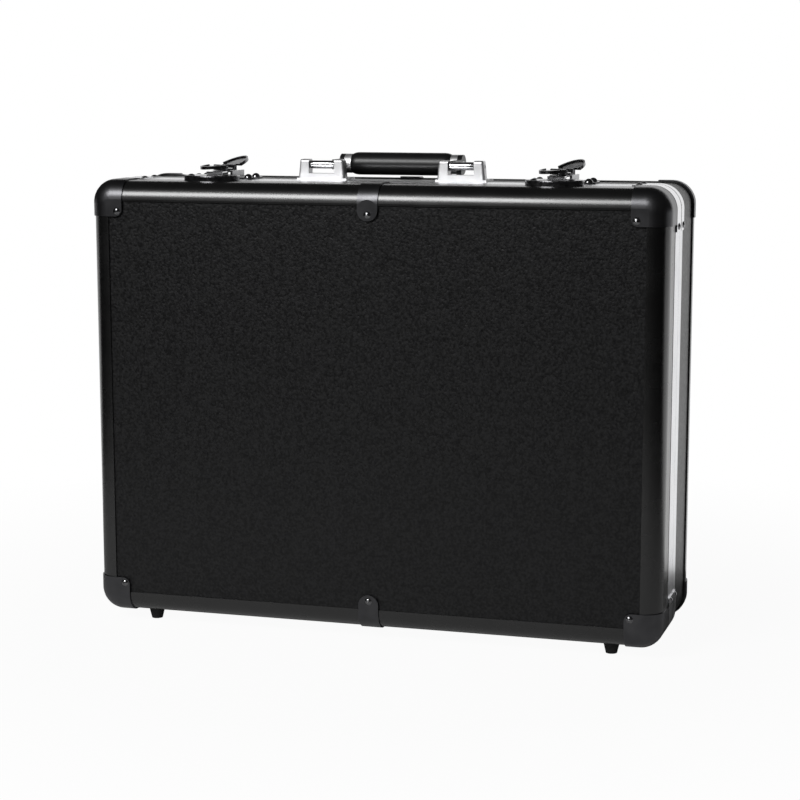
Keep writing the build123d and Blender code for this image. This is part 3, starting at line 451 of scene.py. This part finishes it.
def roller(hand):
    """The bright sleeve on the barrel of a handle arm, seen through the window of its bracket."""
    low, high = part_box(f"{hand}_handle_arm")
    pin_low, pin_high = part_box("handle_pins")
    centre = Vector((0, (pin_low.y + pin_high.y) / 2, (pin_low.z + pin_high.z) / 2))
    left, right = low.x + ROLLER_END, high.x - ROLLER_END
    corners = [
        (left, ROLLER_INSIDE), (right, ROLLER_INSIDE), (right, ROLLER_OUTSIDE), (left, ROLLER_OUTSIDE),
    ]
    shape = bmesh.new()
    section = shape.faces.new([shape.verts.new(centre + Vector((x, 0, radius))) for x, radius in corners])
    bmesh.ops.bevel(
        shape, geom=section.verts[2:], offset=ROLLER_SOFT, segments=ROLLER_SOFT_STEPS, profile=0.5,
        affect="VERTICES", material=-1,
    )
    bmesh.ops.delete(shape, geom=shape.faces[:], context="FACES_ONLY")
    bmesh.ops.spin(
        shape, geom=shape.verts[:] + shape.edges[:], cent=centre, axis=(1, 0, 0), angle=2 * pi,
        steps=ROLLER_SIDES, use_merge=True,
    )
    new_piece(f"{hand}_handle_roller", shape, "latch_bright", "handle")


for hand in ("left", "right"):
    roller(hand)


# ---------------------------------------------------------------- studio

PAPER_WHITE = "f0f0f0"
FLOOR_SIZE = (12, 12)
FLOOR_DROP = 0.3 * MM
FLOOR_SHADOWS = 0.05
FLOOR_FAR = "202020"
BACKDROP_SIZE = (3.4, 1.7)
BACKDROP_PLACE = (0.2, 2.2, 0.85)
NEAR_PAPER = 0.82
PAPER_FADE = 0.12
SHADOW_NEAR = 0.3
SHADOW_FAR = 0.75
GLOSSY_FROM = 0.25
DIM_AIR = 0.035
WHITE = (1, 1, 1, 1)


def sweep_paper(name, plain_share, far_tone):
    """White paper, lit by its own light to the camera, of which plain_share takes shadows. Metal sees it
    white too where it lies behind the case. Away from the case its own tone falls to far_tone."""
    material, tree, place = new_material(name)
    path = add(tree, "ShaderNodeLightPath").outputs
    depth = add(tree, "ShaderNodeSeparateXYZ", links={0: place}).outputs["Y"]
    behind = add(tree, "ShaderNodeMath", {"operation": "GREATER_THAN", 1: GLOSSY_FROM}, {0: depth})
    mirrored = add(tree, "ShaderNodeMath", {"operation": "MULTIPLY"}, {0: behind, 1: path["Is Glossy Ray"]})
    seen = add(tree, "ShaderNodeMath", {"operation": "MAXIMUM"}, {0: path["Is Camera Ray"], 1: mirrored})
    far = add(tree, "ShaderNodeVectorMath", {"operation": "LENGTH"}, {0: place}).outputs["Value"]
    fading = {"From Min": NEAR_PAPER, "From Max": NEAR_PAPER + PAPER_FADE}
    fade = add(tree, "ShaderNodeMapRange", fading, {"Value": far})
    tone = add(
        tree, "ShaderNodeMix",
        {"data_type": "RGBA", FIRST: hex_colour(PAPER_WHITE), SECOND: hex_colour(far_tone)}, {0: fade},
    )
    paper = add(tree, "ShaderNodeBsdfDiffuse", links={"Color": tone.outputs[MIXED]})
    glow = add(tree, "ShaderNodeEmission", {"Color": WHITE, "Strength": 1.0})
    shadows = {"From Min": SHADOW_NEAR, "From Max": SHADOW_FAR, "To Min": plain_share, "To Max": 0.0}
    share = add(tree, "ShaderNodeMapRange", shadows, {"Value": far})
    shown = add(tree, "ShaderNodeMixShader", links={0: share, 1: glow, 2: paper})
    whole = add(tree, "ShaderNodeMixShader", links={0: seen, 1: paper, 2: shown})
    add(tree, "ShaderNodeOutputMaterial", links={"Surface": whole})
    return material


def stage_sheet(name, size, place, material):
    """A flat sheet of the stage."""
    shape = bmesh.new()
    stretch = Matrix.Diagonal((*size, 1, 1))
    bmesh.ops.create_grid(shape, x_segments=1, y_segments=1, size=0.5, matrix=place @ stretch)
    mesh = bpy.data.meshes.new(name)
    shape.to_mesh(mesh)
    shape.free()
    mesh.materials.append(material)
    sheet = bpy.data.objects.new(name, mesh)
    bpy.context.scene.collection.objects.link(sheet)


def make_studio():
    """A pale floor and a backdrop behind, in air that is dim to all but the camera."""
    flat = Matrix.Translation((0, 0, -FLOOR_DROP))
    upright = Matrix.Translation(BACKDROP_PLACE) @ Matrix.Rotation(radians(90), 4, "X")
    stage_sheet("floor", FLOOR_SIZE, flat, sweep_paper("white_floor_paper", FLOOR_SHADOWS, FLOOR_FAR))
    stage_sheet("backdrop", BACKDROP_SIZE, upright, sweep_paper("white_backdrop_paper", 0.0, PAPER_WHITE))
    world = bpy.data.worlds.new("studio_air")
    world.use_nodes = True
    air = world.node_tree
    air.nodes.clear()
    path = add(air, "ShaderNodeLightPath").outputs
    straight = {0: path["Is Camera Ray"], 1: path["Is Transmission Ray"]}
    seen = add(air, "ShaderNodeMath", {"operation": "MAXIMUM"}, straight)
    white = add(air, "ShaderNodeBackground", {"Color": WHITE, "Strength": 1.0})
    dim = add(air, "ShaderNodeBackground", {"Color": WHITE, "Strength": DIM_AIR})
    mixed = add(air, "ShaderNodeMixShader", links={0: seen, 1: dim, 2: white})
    add(air, "ShaderNodeOutputWorld", links={"Surface": mixed})
    bpy.context.scene.world = world


def soft_box(name, place, target, width, height, radiance):
    """A rectangular soft box aimed at a point, as bright to look at as radiance times white paper."""
    light = bpy.data.lights.new(name, "AREA")
    light.shape = "RECTANGLE"
    light.size = width
    light.size_y = height
    light.energy = radiance * pi * width * height
    lamp = bpy.data.objects.new(name, light)
    lamp.location = place
    lamp.rotation_euler = (Vector(target) - Vector(place)).to_track_quat("-Z", "Y").to_euler()
    bpy.context.scene.collection.objects.link(lamp)


make_studio()
soft_box("front_box", place=(-0.78, -2.0, 1.6), target=(0, 0, 0.3), width=1.2, height=0.85, radiance=12.5)

scene = bpy.context.scene
scene.view_settings.view_transform = "Standard"
